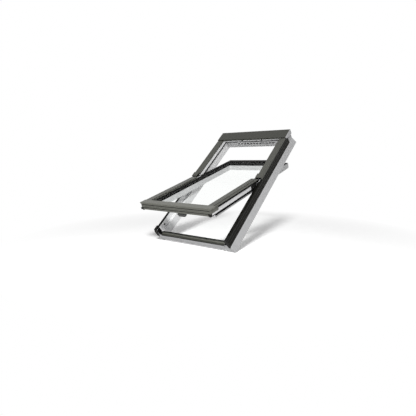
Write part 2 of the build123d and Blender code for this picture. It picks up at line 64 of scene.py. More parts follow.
joints = {joint["name"]: joint for joint in frame["joints"]}
mounts = {mount["name"]: mount for mount in frame["record"]["mounts"]}


def box_as_lists(box):
    """Two corners as plain lists."""
    return [list(corner) for corner in box]


size_before = box_as_lists(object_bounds())
print("construction:", len(nodes), "pieces; size", [
    round(high - low, 3) for low, high in zip(*size_before)])

# %% [markdown]
# The window lies at the roof's pitch, and its sash stands open about the pivots.
# Every pattern that runs along a profile needs to know which way is "up the slope".
# The room-side faces give the frame's outward direction, and the sash's own handle
# axis gives the sash's. Up the slope is square to that and to the width, so one
# small rotation matrix per part turns any place in the room into window directions.

# %% Window directions
ACROSS = Vector((1, 0, 0))
FRAME_OUT = -Vector(mounts["sill_room_face"]["axis"]).normalized()
SASH_OUT = Vector(joints["handle_turn"]["axis"]).normalized()


def window_axes(outward):
    """Across, up the slope and outward, as the rows of a matrix."""
    return Matrix((ACROSS, outward.cross(ACROSS), outward))


FRAME_AXES = window_axes(FRAME_OUT)
SASH_AXES = window_axes(SASH_OUT)
FRAME_PITCH = math.atan2(-FRAME_OUT.y, FRAME_OUT.z)
SASH_PITCH = math.atan2(-SASH_OUT.y, SASH_OUT.z)
print("frame pitch", round(math.degrees(FRAME_PITCH), 1),
      "sash pitch", round(math.degrees(SASH_PITCH), 1))

# %% [markdown]
# The camera comes early, because every later choice is judged through it.
# The photograph was taken from low down on the right, with a fairly short lens.
# Its place is written here in metres from the middle of the sill's room face,
# which is the origin of the whole model.

# %% Camera
CAMERA_PLACE = (1.6404, -1.9928, 0.5846)
CAMERA_AZIMUTH = math.radians(37.48)
CAMERA_HEIGHT_ANGLE = math.radians(7.22)
FOCAL_IN_PIXELS = 364.6
PICTURE_PIXELS = 416
SENSOR_MM = 36.0


def add_camera():
    """A camera that looks along the photograph's own direction."""
    data = bpy.data.cameras.new("camera")
    data.sensor_width = SENSOR_MM
    data.lens = FOCAL_IN_PIXELS / PICTURE_PIXELS * SENSOR_MM
    data.clip_start = 0.05
    data.clip_end = 60
    camera = bpy.data.objects.new("camera", data)
    camera.location = CAMERA_PLACE
    camera.rotation_euler = (math.pi / 2 - CAMERA_HEIGHT_ANGLE, 0, CAMERA_AZIMUTH)
    bpy.context.scene.collection.objects.link(camera)
    bpy.context.scene.camera = camera
    return camera


camera = add_camera()
print("camera lens", round(camera.data.lens, 1), "mm")

# %% [markdown]
# Materials are built from nodes by one small helper, so that each finish below is
# a few readable lines. A finish reads Object coordinates, turned by the pitch of
# the part that it covers: brushing and extrusion lines then run along the profile,
# and they stay in place when the sash swings. A noise field seldom leaves the band
# from 0.3 to 0.7, so that band is spread over each colour or roughness range.

# %% Helpers for materials
FIELD_LOW = 0.3
FIELD_HIGH = 0.7


class Finish:
    """A material under construction: a node tree with a principled shader."""

    def __init__(self, name, pitch):
        self.material = bpy.data.materials.new(name)
        self.material.use_nodes = True
        self.tree = self.material.node_tree
        self.shader = self.tree.nodes["Principled BSDF"]
        place = self.add("ShaderNodeTexCoord")
        self.turn = self.add("ShaderNodeMapping")
        self.turn.inputs["Rotation"].default_value = (-pitch, 0, 0)
        self.link(place.outputs["Object"], self.turn.inputs["Vector"])

    def add(self, kind):
        return self.tree.nodes.new(kind)

    def link(self, source, target):
        self.tree.links.new(source, target)

    def stretched(self, scale):
        """Window coordinates, scaled differently along each direction."""
        node = self.add("ShaderNodeMapping")
        node.inputs["Scale"].default_value = scale
        self.link(self.turn.outputs["Vector"], node.inputs["Vector"])
        return node.outputs["Vector"]

    def noise(self, scale, detail=3.0):
        """A noise field whose grain is given per metre in each direction."""
        node = self.add("ShaderNodeTexNoise")
        node.inputs["Scale"].default_value = 1.0
        node.inputs["Detail"].default_value = detail
        self.link(self.stretched(scale), node.inputs["Vector"])
        return node.outputs["Fac"]

    def tinted(self, field, dark, light):
        """A field turned into a colour between two tones."""
        ramp = self.add("ShaderNodeValToRGB")
        ramp.color_ramp.elements[0].position = FIELD_LOW
        ramp.color_ramp.elements[0].color = (*dark, 1)
        ramp.color_ramp.elements[1].position = FIELD_HIGH
        ramp.color_ramp.elements[1].color = (*light, 1)
        self.link(field, ramp.inputs["Fac"])
        return ramp.outputs["Color"]

    def ranged(self, field, low, high):
        """A field brought between two values."""
        node = self.add("ShaderNodeMapRange")
        node.inputs["From Min"].default_value = FIELD_LOW
        node.inputs["From Max"].default_value = FIELD_HIGH
        node.inputs["To Min"].default_value = low
        node.inputs["To Max"].default_value = high
        self.link(field, node.inputs["Value"])
        return node.outputs["Result"]

    def coloured(self, field, dark, light):
        """A base colour that wanders between two tones."""
        self.link(self.tinted(field, dark, light), self.shader.inputs["Base Color"])

    def roughened(self, field, low, high):
        """A roughness that wanders between two values."""
        self.link(self.ranged(field, low, high), self.shader.inputs["Roughness"])

    def bumped(self, field, depth):
        """A field turned into a relief of so many metres."""
        node = self.add("ShaderNodeBump")
        node.inputs["Distance"].default_value = depth
        node.inputs["Strength"].default_value = 1.0
        self.link(field, node.inputs["Height"])
        self.link(node.outputs["Normal"], self.shader.inputs["Normal"])

    def set(self, **values):
        """Plain values on the shader's own sockets; underscores stand for spaces."""
        for name, value in values.items():
            self.shader.inputs[name.replace("_", " ")].default_value = value


def both_pitches(maker):
    """A finish is made once for the frame and once for the sash."""
    return {"frame": maker("frame", FRAME_PITCH), "sash": maker("sash", SASH_PITCH)}


# %% [markdown]
# The profiles are extruded white plastic. Real extrusions are smooth but never
# perfect: the die leaves very faint lines along the length, and the surface has a
# soft satin gloss. We stretch one noise along the slope for the lines, and let a
# slow second noise shift the tone a little, so that large faces don't look printed.
# The sash is painted greyer than the frame, as painted shade: both are one plastic.
# The outer flanks of the frame and the sill's outer face, the faces that the roof will
# hide, get a greyer tone: painted shade on the sides of the window. A comparison on the
# window's own directions picks them out.

# %% White plastic
# The sash's tones are painted shade: greyer than the frame's, though both are one plastic.
WHITE_AND_SHADED_TONES = {"frame": ((0.78, 0.78, 0.785), (0.84, 0.84, 0.845)),
               "sash": ((0.63, 0.63, 0.635), (0.69, 0.69, 0.695))}
# Painted shade on the frame's outer flanks and the sill's outer face, greyer than the white.
FLANK_SHADE_TONE = (0.40, 0.40, 0.405)
SILL_SHADE_TONE = (0.42, 0.42, 0.425)
FLANK_START = 0.3095
SILL_FACE = -0.0174


def toned_where(finish, operation, source, limit, tone, rest):
    """One tone where a measure is past its limit, and the rest elsewhere."""
    past = finish.add("ShaderNodeMath")
    past.operation = operation
    past.inputs[1].default_value = limit
    finish.link(source, past.inputs[0])
    mix = finish.add("ShaderNodeMix")
    mix.data_type = "RGBA"
    sockets = {socket.identifier: socket for socket in mix.inputs}
    finish.link(past.outputs["Value"], sockets["Factor_Float"])
    finish.link(rest, sockets["A_Color"])
    sockets["B_Color"].default_value = (*tone, 1)
    return next(out for out in mix.outputs if out.identifier == "Result_Color")


def shaded_outside(finish, white_tone):
    """Painted shade: the outer flanks and the sill's outer face get a greyer tone."""
    split = finish.add("ShaderNodeSeparateXYZ")
    finish.link(finish.turn.outputs["Vector"], split.inputs["Vector"])
    side = finish.add("ShaderNodeMath")
    side.operation = "ABSOLUTE"
    finish.link(split.outputs["X"], side.inputs[0])
    sill_shaded = toned_where(finish, "LESS_THAN", split.outputs["Y"], SILL_FACE,
                             SILL_SHADE_TONE, white_tone)
    return toned_where(finish, "GREATER_THAN", side.outputs["Value"], FLANK_START,
                       FLANK_SHADE_TONE, sill_shaded)


def white_plastic(part, pitch):
    finish = Finish("white_plastic_" + part, pitch)
    cloud = finish.noise((6, 6, 6))
    lines = finish.noise((900, 3, 900), 2.0)
    white_tone = finish.tinted(cloud, *WHITE_AND_SHADED_TONES[part])
    if part == "frame":
        white_tone = shaded_outside(finish, white_tone)
    finish.link(white_tone, finish.shader.inputs["Base Color"])
    finish.roughened(lines, 0.38, 0.48)
    finish.bumped(lines, 0.00003)
    return finish.material


white = both_pitches(white_plastic)
print("white plastic for", sorted(white))

# %% [markdown]
# The outer covers are thin aluminium, folded and lacquered in an olive grey.
# Lacquer on rolled sheet has a low, even gloss with a fine orange-peel grain.
# Fine noise in the relief gives the grain, and a little metallic share keeps the
# highlights from turning milky. The hood and the sill cover get a darker copy of the
# lacquer as painted shade, and the ribbed end of the sash a lighter copy as painted
# light: one lacquer in three greys.

# %% Lacquered covers
COVER_DARK = (0.068, 0.069, 0.059)
COVER_LIGHT = (0.081, 0.082, 0.071)
# Painted shade: a darker copy of the lacquer for the hood and the sill cover.
HOOD_SHADE_DARK = (0.040, 0.041, 0.034)
HOOD_SHADE_LIGHT = (0.047, 0.048, 0.040)
# Painted light: a lighter copy of the lacquer for the sash's ribbed end and its corner wraps.
END_LIT_DARK = (0.125, 0.126, 0.110)
END_LIT_LIGHT = (0.142, 0.143, 0.126)


def lacquer(part, pitch, tones=(COVER_DARK, COVER_LIGHT)):
    finish = Finish("cover_lacquer_" + part, pitch)
    cloud = finish.noise((5, 5, 5))
    peel = finish.noise((1400, 1400, 1400), 1.0)
    finish.coloured(cloud, *tones)
    finish.roughened(cloud, 0.36, 0.46)
    finish.bumped(peel, 0.00002)
    finish.set(Metallic=0.1, Specular_IOR_Level=0.2)
    return finish.material


covers = both_pitches(lacquer)
shaded_lacquer = lacquer("hood", FRAME_PITCH, (HOOD_SHADE_DARK, HOOD_SHADE_LIGHT))
lit_lacquer = lacquer("sash_end_lit", SASH_PITCH, (END_LIT_DARK, END_LIT_LIGHT))

# %% [markdown]
# The side tracks and the hinge plates are nearly black, with a satin surface.
# Brushing along the length is kept as a stretched noise in the roughness only:
# that breaks up the long highlight without painting stripes.

# %% Black metal
BLACK_METAL = (0.004, 0.004, 0.003)
BLACK_WORN = (0.008, 0.008, 0.006)


def black_metal(part, pitch):
    finish = Finish("black_metal_" + part, pitch)
    cloud = finish.noise((12, 12, 12))
    brushing = finish.noise((700, 8, 700), 2.0)
    finish.coloured(cloud, BLACK_METAL, BLACK_WORN)
    finish.roughened(brushing, 0.34, 0.5)
    finish.bumped(brushing, 0.00002)
    finish.set(Specular_IOR_Level=0.06)
    return finish.material


blacks = both_pitches(black_metal)

# %% [markdown]
# Seals are black rubber: very dark, matt, with a fine skin. Black plastic end
# pieces are a shade glossier, with the grain of a spark-eroded mould.

# %% Rubber and black plastic


def rubber(part, pitch):
    finish = Finish("seal_rubber_" + part, pitch)
    skin = finish.noise((1600, 1600, 1600), 2.0)
    finish.coloured(skin, (0.004, 0.004, 0.004), (0.007, 0.007, 0.007))
    finish.roughened(skin, 0.7, 0.85)
    finish.bumped(skin, 0.00004)
    finish.set(Specular_IOR_Level=0.06)
    return finish.material


def black_plastic(part, pitch):
    finish = Finish("black_plastic_" + part, pitch)
    grain = finish.noise((2200, 2200, 2200), 1.0)
    finish.coloured(grain, (0.006, 0.006, 0.005), (0.010, 0.010, 0.009))
    finish.roughened(grain, 0.45, 0.6)
    finish.bumped(grain, 0.00003)
    finish.set(Specular_IOR_Level=0.1)
    return finish.material


def grey_plastic(part, pitch):
    finish = Finish("grey_plastic_" + part, pitch)
    grain = finish.noise((1800, 1800, 1800), 1.0)
    finish.coloured(grain, (0.030, 0.030, 0.026), (0.042, 0.042, 0.037))
    finish.roughened(grain, 0.36, 0.46)
    finish.bumped(grain, 0.00003)
    return finish.material


rubbers = both_pitches(rubber)
plastics = both_pitches(black_plastic)
greys = both_pitches(grey_plastic)

# %% [markdown]
# Steel is left bare on the screws, the bolt and the striker: a metal with brushing
# in its roughness. The spacer between the panes is made a dull strip, nearly black.

# %% Bare metals


def steel(part, pitch):
    finish = Finish("bare_steel_" + part, pitch)
    brushing = finish.noise((300, 2500, 300), 2.0)
    finish.coloured(brushing, (0.42, 0.42, 0.42), (0.56, 0.56, 0.55))
    finish.roughened(brushing, 0.25, 0.4)
    finish.set(Metallic=1.0)
    return finish.material


def spacer_metal(part, pitch):
    finish = Finish("spacer_metal_" + part, pitch)
    rolling = finish.noise((60, 60, 900), 2.0)
    finish.coloured(rolling, (0.012, 0.012, 0.012), (0.020, 0.020, 0.020))
    finish.roughened(rolling, 0.4, 0.5)
    finish.set(Specular_IOR_Level=0.06)
    return finish.material


steels = both_pitches(steel)
spacers = both_pitches(spacer_metal)

# %% [markdown]
# Window glass is almost invisible from most sides, and shows a soft reflection at
# a flat angle. A thin slab of glass with a real refractive index would be right,
# but it darkens what lies behind it in a short render. So the panes mix a clear
# see-through shader with a glossy one, and Fresnel decides how much of each: the
# physics of the reflection stays, and the white background stays white.
# The inner side of each surface reflects nothing here, because a see-through
# shader doesn't bend the light: there the Fresnel rule would give a full mirror.

# %% Window glass
GLASS_TINT = (0.997, 1.0, 0.998, 1)
GLASS_IOR = 1.45
REFLECTED_SHARE = 0.06
GLASS_ROUGHNESS = 0.02
RIPPLE_SCALE = 4.0
RIPPLE_DEPTH = 0.00005


def window_glass(part):
    material = bpy.data.materials.new("window_glass_" + part)
    material.use_nodes = True
    tree = material.node_tree
    tree.nodes.clear()
    output = tree.nodes.new("ShaderNodeOutputMaterial")
    mix = tree.nodes.new("ShaderNodeMixShader")
    clear = tree.nodes.new("ShaderNodeBsdfTransparent")
    clear.inputs["Color"].default_value = GLASS_TINT
    gloss = tree.nodes.new("ShaderNodeBsdfGlossy")
    gloss.inputs["Roughness"].default_value = GLASS_ROUGHNESS
    fresnel = tree.nodes.new("ShaderNodeFresnel")
    fresnel.inputs["IOR"].default_value = GLASS_IOR
    place = tree.nodes.new("ShaderNodeTexCoord")
    ripple = tree.nodes.new("ShaderNodeTexNoise")
    ripple.inputs["Scale"].default_value = RIPPLE_SCALE
    relief = tree.nodes.new("ShaderNodeBump")
    relief.inputs["Distance"].default_value = RIPPLE_DEPTH
    tree.links.new(place.outputs["Object"], ripple.inputs["Vector"])
    tree.links.new(ripple.outputs["Fac"], relief.inputs["Height"])
    tree.links.new(relief.outputs["Normal"], gloss.inputs["Normal"])
    side = tree.nodes.new("ShaderNodeNewGeometry")
    outside = tree.nodes.new("ShaderNodeMath")
    outside.operation = "SUBTRACT"
    outside.inputs[0].default_value = REFLECTED_SHARE
    share = tree.nodes.new("ShaderNodeMath")
    share.operation = "MULTIPLY"
    share.use_clamp = True
    tree.links.new(side.outputs["Backfacing"], outside.inputs[1])
    tree.links.new(outside.outputs["Value"], share.inputs[0])
    tree.links.new(fresnel.outputs["Fac"], share.inputs[1])
    tree.links.new(share.outputs["Value"], mix.inputs["Fac"])
    tree.links.new(clear.outputs["BSDF"], mix.inputs[1])
    tree.links.new(gloss.outputs["BSDF"], mix.inputs[2])
    tree.links.new(mix.outputs["Shader"], output.inputs["Surface"])
    return material


glass = window_glass("sash")

# %% [markdown]
# Now each construction piece gets its finish. The record already says which slot
# a piece belongs to, so one table from slot to finish dresses all of them, and a
# new piece in a later version of the window is dressed without a new line here.

# %% Dress the pieces
FINISH_OF_SLOT = {
    "white_plastic": white,
    "grey_cover": covers,
    "black_metal": blacks,
    "dark_steel": blacks,
    "black_rubber": rubbers,
    "black_plastic": plastics,
    "grey_plastic": greys,
    "steel": steels,
    "spacer": spacers,
    "glass": {"frame": glass, "sash": glass},
}
# The hood and sill cover take the painted-shade copy, the sash's end and corner wraps the painted-light copy.
LIT_OR_SHADED_COPY = {"hood": shaded_lacquer, "sill_cover": shaded_lacquer, "bottom_cover": lit_lacquer,
              "right_corner_wrap": lit_lacquer, "left_corner_wrap": lit_lacquer}
PART_OF_BODY = {"frame": "frame", "flap": "frame", "sash": "sash", "handle": "sash",
                "bolt": "sash"}


def body_of_node(name):
    for body, members in frame["record"]["behaviour"]["bodies"].items():
        if name in members:
            return body
    return None


def dress_nodes():
    """Give every construction piece the finish of its slot."""
    slots = {part["node"]: part["material_slot"] for part in frame["record"]["subparts"]}
    for name, node in nodes.items():
        finish = FINISH_OF_SLOT[slots[name]][PART_OF_BODY[body_of_node(name)]]
        node.data.materials.clear()
        node.data.materials.append(LIT_OR_SHADED_COPY.get(name, finish))
    return len(nodes)


print("dressed", dress_nodes(), "pieces")

# %% [markdown]
# The construction stops at the pieces that a workshop would draw. A real window has
# small things on top of them: seals that show as black lines, pads in the corners,
# screws, the lips of the air slots. Each is placed by measuring the pieces that it
# belongs to, in window directions, so that it stays right when a size changes.

# %% Measure pieces in window directions


def window_box(name, axes):
    """The corners of a construction piece, measured across, up the slope and outward."""
    node = nodes[name]
    points = [axes @ (node.matrix_world @ vertex.co) for vertex in node.data.vertices]
    low = Vector([min(point[i] for point in points) for i in range(3)])
    high = Vector([max(point[i] for point in points) for i in range(3)])
    return low, high


bpy.context.view_layer.update()
stop_low, stop_high = window_box("right_side_stop", FRAME_AXES)
sill_low, sill_high = window_box("sill", FRAME_AXES)
jamb_high = window_box("right_jamb", FRAME_AXES)[1]
grille_low, grille_high = window_box("air_grille", FRAME_AXES)
track_low, track_high = window_box("right_side_track", FRAME_AXES)
FRONT = jamb_high.z
LEDGE = sill_high.z
REBATE_WALL = stop_high.x
MM = 0.001
print("frame depth", round(FRONT, 4), "ledge at", round(LEDGE, 4))

# %% [markdown]
# Most of these pieces are short runs of a profile. One helper makes any number of
# blocks as a single closed mesh, gives the edges a small rounding, turns it into
# its place on the slope, and lets it ride on its part of the window.

# %% Helper for runs of profile


def keep(piece, body):
    """Put a finished mesh in the scene, riding on one part of the window."""
    if piece.name not in bpy.context.scene.collection.objects:
        bpy.context.scene.collection.objects.link(piece)
    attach(piece, body)
    print("made", piece.name, "with", len(piece.data.polygons), "faces")
    return piece


def profile_runs(name, blocks, axes, body, finish, rounding=0.0003):
    """Blocks given by two corners in window directions, as one mesh."""
    mesh = bpy.data.meshes.new(name)
    shape = bmesh.new()
    for low, high in blocks:
        made = bmesh.ops.create_cube(shape, size=1.0)
        size = [b - a for a, b in zip(low, high)]
        middle = [(a + b) / 2 for a, b in zip(low, high)]
        bmesh.ops.scale(shape, vec=size, verts=made["verts"])
        bmesh.ops.translate(shape, vec=middle, verts=made["verts"])
    reach = min(min(b - a for a, b in zip(low, high)) for low, high in blocks)
    bmesh.ops.bevel(shape, geom=shape.edges[:], offset=min(rounding, reach / 4),
                    segments=1, affect="EDGES")
    bmesh.ops.transform(shape, matrix=axes.transposed().to_4x4(), verts=shape.verts[:])
    bmesh.ops.recalc_face_normals(shape, faces=shape.faces[:])
    shape.to_mesh(mesh)
    shape.free()
    mesh.materials.append(finish)
    return keep(bpy.data.objects.new(name, mesh), body)


def both_sides(blocks):
    """The same blocks and their mirror images across the window."""
    mirrored = [((-high[0], low[1], low[2]), (-low[0], high[1], high[2])) for low, high in blocks]
    return blocks + mirrored


# %% [markdown]
# The stops of the upper half carry a seal all round. Its lip wraps onto the stop's
# inner face, which is why it shows as a clear black line under the hood.

# %% Seal lips on the stops
LIP = 0.9 * MM
LIP_HEIGHT = 7 * MM
LIP_BEHIND = 5.8 * MM
lip_back = stop_low.z - LIP_BEHIND
side_lip = ((stop_low.x - LIP, stop_low.y, lip_back),
            (stop_low.x, stop_high.y, lip_back + LIP_HEIGHT))
head_lip = ((-stop_low.x, stop_high.y - LIP, lip_back),
            (stop_low.x, stop_high.y, lip_back + LIP_HEIGHT))
profile_runs("stop_seal_lips", both_sides([side_lip]) + [head_lip], FRAME_AXES, "frame",
             rubbers["frame"])

# %% [markdown]
# The ends of the hood are closed with moulded caps in the frame's white plastic, where
# they take the flanks' painted shade. Their shape is already right, so each is a copy of
# the construction piece with its loose triangles merged, in another finish.

# %% End caps of the hood


def recast(name, body, finish, slot_name, *sources):
    """Merged copies of construction pieces, as one piece in a new finish."""
    shape = bmesh.new()
    for source in sources:
        shape.from_mesh(nodes[source].data)
    bmesh.ops.remove_doubles(shape, verts=shape.verts[:], dist=0.00002)
    bmesh.ops.recalc_face_normals(shape, faces=shape.faces[:])
    mesh = bpy.data.meshes.new(name)
    shape.to_mesh(mesh)
    shape.free()
    mesh.materials.clear()
    mesh.materials.append(finish)
    piece = keep(bpy.data.objects.new(name, mesh), body)
    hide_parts(*sources)
    return piece


# The caps lie past the flanks' limit, so they take the painted shade of the flanks.
recast("hood_end_caps", "frame", white["frame"], "white_plastic",
       "right_hood_cap", "left_hood_cap")

# %% [markdown]
# Where side member and sill meet, the ledge is closed with a thin rubber pad that
# turns up the rebate's wall, to keep driving rain out. Its exact form is a guess.

# %% Corner pads
PAD_REACH = 34 * MM
PAD_GAP = 0.5 * MM
PAD_UNDER = 0.02 * MM
PAD_TOP = 0.32 * MM
pad_start = sill_low.y + PAD_GAP
pad_end = sill_low.y + PAD_REACH
pad_floor = ((sill_high.x + 0.4 * MM, pad_start, LEDGE + PAD_UNDER),
             (REBATE_WALL - 0.6 * MM, pad_end, LEDGE + PAD_TOP))
pad_wall = ((REBATE_WALL - PAD_GAP, pad_start, LEDGE + PAD_GAP),
            (REBATE_WALL - 0.05 * MM, pad_end, FRONT - 1 * MM))
profile_runs("corner_pads", both_sides([pad_floor, pad_wall]), FRAME_AXES, "frame",
             rubbers["frame"], rounding=0.00008)

# %% [markdown]
# The sill cover ends in a drip edge. Below it runs a black bead and then a white
# plastic strip that takes the cover's lip, so that the metal shows as a narrow band.

# %% Drip strip of the sill
STRIP_OUTER = 3.8 * MM
STRIP_INNER = 2.6 * MM
STRIP_TOP = 4.5 * MM
STRIP_FOOT = 20 * MM
BEAD_TOP = 0.8 * MM
BEAD_FOOT = 4.3 * MM
strip_outer = sill_low.y - STRIP_OUTER
strip_inner = sill_low.y - STRIP_INNER
half_sill = sill_high.x
# The strip lies past the sill's outer face, so it takes the sill's painted shade.
profile_runs("sill_drip_strip", [((-half_sill, strip_outer, LEDGE - STRIP_FOOT),
                                  (half_sill, strip_inner, LEDGE - STRIP_TOP))],
             FRAME_AXES, "frame", white["frame"])
profile_runs("sill_drip_bead", [((-half_sill, strip_outer, LEDGE - BEAD_FOOT),
                                 (half_sill, strip_inner + 1 * MM, LEDGE - BEAD_TOP))],
             FRAME_AXES, "frame", rubbers["frame"])

# %% [markdown]
# The crest of the sill cover's ridge gets a thin skin in the lighter copy of the lacquer
# from the sash's end: a painted highlight along the crest.

# %% Painted highlight on the sill's ridge
CREST_OUT = 3.5 * MM
CREST_UP = 11 * MM
CREST_WIDTH = 8 * MM
ridge_up = sill_low.y + CREST_UP
# A painted highlight: a thin lighter strip along the ridge's crest.
profile_runs("sill_ridge_highlight", [((-half_sill + 1 * MM, ridge_up, LEDGE + CREST_OUT + 0.02 * MM),
                                   (half_sill - 1 * MM, ridge_up + CREST_WIDTH,
                                    LEDGE + CREST_OUT + 0.3 * MM))],
             FRAME_AXES, "frame", lit_lacquer, rounding=0.00005)

# %% [markdown]
# The tracks on the flanks are extruded with ribs. The crest of each rib gets a thin
# lighter grey strip: a painted highlight along each rib.

# %% Painted highlights on the track ribs
RIBS = 3
CREST = 0.15 * MM
CREST_HALF = 0.8 * MM
rib_highlight_blocks = []
track_span = FRONT - track_low.z
for index in range(RIBS):
    out = FRONT - track_span * (index + 0.5) / RIBS
    rib_highlight_blocks.append(((track_high.x, track_low.y + 1 * MM, out - CREST_HALF),
                         (track_high.x + CREST, track_high.y - 1 * MM, out + CREST_HALF)))
# Painted highlights: thin lighter strips on the crests of the ribs.
profile_runs("track_rib_highlights", both_sides(rib_highlight_blocks), FRAME_AXES, "frame",
             greys["frame"], rounding=0.00003)

# %% [markdown]
# The end face of the sash is a stack of folded metal. Two black strips lie between its
# ribs as painted shade in the grooves, and divide it into bands.

# %% Painted shade in the grooves of the sash's end face
FACE_BANDS = 5
GROOVE_SHADE_BANDS = (1.5, 3.5)
GROOVE_SHADE_HALF = 1.3 * MM
BEAD_FROM = 0.9 * MM
BEAD_TO = 2.6 * MM
cover_low, cover_high = window_box("bottom_cover", SASH_AXES)
cap_low = window_box("right_corner_cap", SASH_AXES)[0]
face_half = cap_low.x - 1 * MM
face_height = cover_high.z - cap_low.z
rib_step = face_height / FACE_BANDS
groove_shade_blocks = []
for step in GROOVE_SHADE_BANDS:
    level = cover_high.z - step * rib_step
    groove_shade_blocks.append(((-face_half, cover_low.y + BEAD_FROM, level - GROOVE_SHADE_HALF),
                        (face_half, cover_low.y + BEAD_TO, level + GROOVE_SHADE_HALF)))
# Painted shade: black strips in the grooves between the end face's ribs.
profile_runs("end_face_groove_shade", groove_shade_blocks, SASH_AXES, "sash", rubbers["sash"])

# %% [markdown]
# The end face's lower corners are closed with small black plugs. Near the pivot, where
# the hinge is let in, a black plate on the side of the sash is painted shade beside the hinge.

# %% Corner plugs and painted shade at the pivots
PLUG_WIDTH = 14 * MM
PLUG_HEIGHT = 17 * MM
PLUG_THICK = 0.6 * MM
PLATE_LOW = 94 * MM
PLATE_HIGH = 20 * MM
PLATE_HEIGHT = 26.5 * MM
PLATE_THICK = 0.8 * MM
end_up = cover_low.y - 0.05 * MM
plug = ((cap_low.x - PLUG_WIDTH, end_up - PLUG_THICK, cap_low.z + 0.3 * MM),
        (cover_high.x - 0.5 * MM, end_up, cap_low.z + PLUG_HEIGHT))
profile_runs("end_corner_plugs", both_sides([plug]), SASH_AXES, "sash", plastics["sash"],
             rounding=0.0001)
side_low, side_high = window_box("right_side_cover", SASH_AXES)
# Painted shade: a black plate where the side of the sash lies in shade by the hinge.
plate = ((cap_low.x + 0.05 * MM, side_high.y - PLATE_LOW, cap_low.z + 0.5 * MM),
         (cap_low.x + PLATE_THICK, side_high.y - PLATE_HIGH, cap_low.z + PLATE_HEIGHT))
profile_runs("pivot_shade_plates", both_sides([plate]), SASH_AXES, "sash", plastics["sash"],
             rounding=0.0001)

# %% [markdown]
# Small things that repeat are made with Geometry Nodes: one tree makes a row of any
# item. Its inputs are the item's size, how many there are and the step between
# them, so screws, slot lips and the spacer's pin-holes are all uses of one tree.
# The tree ends by making the copies real and giving them their finish.

# %% A tree that makes rows
HEAD_SEGMENTS = 12
HEAD_RINGS = 6


def row_tree(kind):
    """A node tree with a row of round heads or of blocks."""
    tree = bpy.data.node_groups.new("row_of_" + kind, "GeometryNodeTree")
    face = tree.interface
    face.new_socket("Count", in_out="INPUT", socket_type="NodeSocketInt")
    for label in ("Start", "Step", "Size"):
        face.new_socket(label, in_out="INPUT", socket_type="NodeSocketVector")
    face.new_socket("Finish", in_out="INPUT", socket_type="NodeSocketMaterial")
    face.new_socket("Geometry", in_out="OUTPUT", socket_type="NodeSocketGeometry")
    given = tree.nodes.new("NodeGroupInput")
    result = tree.nodes.new("NodeGroupOutput")
    line = tree.nodes.new("GeometryNodeMeshLine")
    spread = tree.nodes.new("GeometryNodeInstanceOnPoints")
    shape = tree.nodes.new("GeometryNodeTransform")
    real = tree.nodes.new("GeometryNodeRealizeInstances")
    finish = tree.nodes.new("GeometryNodeSetMaterial")
    if kind == "heads":
        item = tree.nodes.new("GeometryNodeMeshUVSphere")
        item.inputs["Segments"].default_value = HEAD_SEGMENTS
        item.inputs["Rings"].default_value = HEAD_RINGS
        item.inputs["Radius"].default_value = 1.0
    else:
        item = tree.nodes.new("GeometryNodeMeshCube")
        item.inputs["Size"].default_value = (1, 1, 1)
    tree.links.new(given.outputs["Count"], line.inputs["Count"])
    tree.links.new(given.outputs["Start"], line.inputs["Start Location"])
    tree.links.new(given.outputs["Step"], line.inputs["Offset"])
    tree.links.new(item.outputs["Mesh"], shape.inputs["Geometry"])
    tree.links.new(given.outputs["Size"], shape.inputs["Scale"])
    tree.links.new(line.outputs["Mesh"], spread.inputs["Points"])
    tree.links.new(shape.outputs["Geometry"], spread.inputs["Instance"])
    tree.links.new(spread.outputs["Instances"], real.inputs["Geometry"])
    tree.links.new(real.outputs["Geometry"], finish.inputs["Geometry"])
    tree.links.new(given.outputs["Finish"], finish.inputs["Material"])
    tree.links.new(finish.outputs["Geometry"], result.inputs["Geometry"])
    return tree


ROWS = {"heads": row_tree("heads"), "blocks": row_tree("blocks")}


def set_input(modifier, label, value):
    """Give a tree's input its value, by the input's identifier."""
    for item in modifier.node_group.interface.items_tree:
        if item.in_out == "INPUT" and item.name == label:
            modifier[item.identifier] = value


def row(kind, start, step, count, size, finish):
    """One row as a plain mesh, still in window directions."""
    holder = bpy.data.objects.new("row", bpy.data.meshes.new("row"))
    bpy.context.scene.collection.objects.link(holder)
    modifier = holder.modifiers.new("row", "NODES")
    modifier.node_group = ROWS[kind]
    for label, value in (("Count", count), ("Start", start), ("Step", step),
                         ("Size", size), ("Finish", finish)):
        set_input(modifier, label, value)
    bpy.context.view_layer.update()
    evaluated = holder.evaluated_get(bpy.context.evaluated_depsgraph_get())
    mesh = bpy.data.meshes.new_from_object(evaluated)
    bpy.data.objects.remove(holder)
    return mesh


def rows_piece(name, kind, rows, axes, body, finish):
    """Several rows joined into one piece and laid in their place."""
    shape = bmesh.new()
    for start, step, count, size in rows:
        shape.from_mesh(row(kind, start, step, count, size, finish))
    bmesh.ops.transform(shape, matrix=axes.transposed().to_4x4(), verts=shape.verts[:])
    bmesh.ops.recalc_face_normals(shape, faces=shape.faces[:])
    mesh = bpy.data.meshes.new(name)
    shape.to_mesh(mesh)
    shape.free()
    mesh.materials.append(finish)
    return keep(bpy.data.objects.new(name, mesh), body)


# %% [markdown]
# Folded covers like these are usually held by small round-headed screws. The
# photograph is too small to show any, so their places are a guess: along the outer
# edge, about a hand's width apart.

